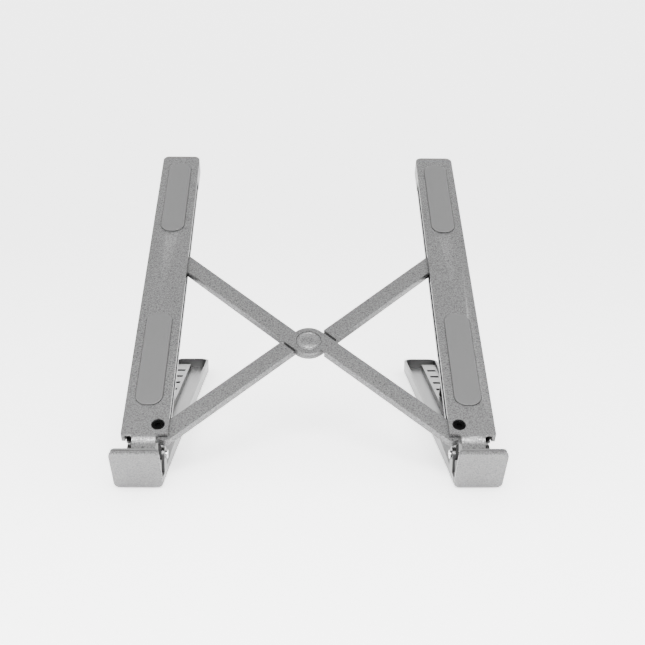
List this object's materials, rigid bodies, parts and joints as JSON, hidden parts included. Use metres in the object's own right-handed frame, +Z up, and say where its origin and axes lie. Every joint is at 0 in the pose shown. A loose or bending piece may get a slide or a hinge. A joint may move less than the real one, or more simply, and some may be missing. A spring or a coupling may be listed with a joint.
{
  "type": "laptop stand",
  "caption": "Folding laptop stand: sloped rails with hook plates and pads, joined by a sliding cross frame, propped on tray-shaped base legs with height slots.",
  "frame": {"origin": "on the desk, under the middle of the whole stand", "axes": "+X across the stand towards the right rail, +Y from the hooks to the rear, +Z up"},
  "size_m": [0.2068, 0.274, 0.1656],
  "materials": {
    "grained_aluminium": "sandblasted silver grey",
    "satin_aluminium": "smooth satin silver",
    "silicone": "smooth matt mid-grey silicone",
    "rubber": "matt dark rubber",
    "steel": "turned bright steel",
    "black_steel": "black oxide",
    "nylon": "natural nylon"
  },
  "bodies": {
    "left_rail": {"left_rail": "grained_aluminium", "left_hook_pad": "silicone", "left_front_pad": "silicone", "left_rear_pad": "silicone", "left_hinge_bracket": "satin_aluminium", "left_hinge_pin": "steel", "left_pivot_screw": "black_steel", "left_pivot_bush": "nylon", "left_slide_track": "satin_aluminium", "left_strut_bracket": "satin_aluminium", "left_strut_pin": "steel"},
    "left_base": {"left_base": "satin_aluminium", "left_ladder": "satin_aluminium", "left_front_foot": "rubber", "left_rear_foot": "rubber"},
    "left_strut": {"left_strut": "satin_aluminium"},
    "arm_b": {"arm_b": "grained_aluminium", "right_slider_pin": "steel", "right_slider_bush": "nylon"},
    "arm_a": {"arm_a": "grained_aluminium", "left_slider_pin": "steel", "left_slider_bush": "nylon", "centre_rivet": "grained_aluminium", "centre_washer": "steel"},
    "right_rail": {"right_rail": "grained_aluminium", "right_hook_pad": "silicone", "right_front_pad": "silicone", "right_rear_pad": "silicone", "right_hinge_bracket": "satin_aluminium", "right_hinge_pin": "steel", "right_pivot_screw": "black_steel", "right_pivot_bush": "nylon", "right_slide_track": "satin_aluminium", "right_strut_bracket": "satin_aluminium", "right_strut_pin": "steel"},
    "right_base": {"right_base": "satin_aluminium", "right_ladder": "satin_aluminium", "right_front_foot": "rubber", "right_rear_foot": "rubber"},
    "right_strut": {"right_strut": "satin_aluminium"}
  },
  "joints": [
    {"name": "width", "type": "hinge", "parent": "left_rail", "child": "arm_b", "pos_m": [-0.0812, -0.10584, 0.02757], "axis": [0, -0.5592, 0.829], "range_deg": [0, 45]},
    {"name": "arm_cross", "type": "hinge", "parent": "arm_b", "child": "arm_a", "pos_m": [0, -0.05206, 0.06385], "axis": [0, -0.5592, 0.829], "range_deg": [-90, 0]},
    {"name": "right_rail_pivot", "type": "hinge", "parent": "arm_a", "child": "right_rail", "pos_m": [0.0812, -0.10584, 0.02757], "axis": [0, -0.5592, 0.829], "range_deg": [0, 45]},
    {"name": "left_fold", "type": "hinge", "parent": "left_rail", "child": "left_base", "pos_m": [-0.088, -0.10596, 0.01398], "axis": [1, 0, 0], "range_deg": [0, 36]},
    {"name": "left_prop", "type": "hinge", "parent": "left_rail", "child": "left_strut", "pos_m": [-0.088, -0.02743, 0.07853], "axis": [1, 0, 0], "range_deg": [0, 80.41]},
    {"name": "right_fold", "type": "hinge", "parent": "right_rail", "child": "right_base", "pos_m": [0.088, -0.10596, 0.01398], "axis": [1, 0, 0], "range_deg": [0, 36]},
    {"name": "right_prop", "type": "hinge", "parent": "right_rail", "child": "right_strut", "pos_m": [0.088, -0.02743, 0.07853], "axis": [1, 0, 0], "range_deg": [0, 80.41]}
  ],
  "couplings": [
    {"joint": "arm_cross", "follows": "width", "ratio": -2},
    {"joint": "right_rail_pivot", "follows": "width", "ratio": 1},
    {"joint": "left_prop", "follows": "left_fold", "ratio": 2.2334},
    {"joint": "right_prop", "follows": "right_fold", "ratio": 2.2334}
  ]
}
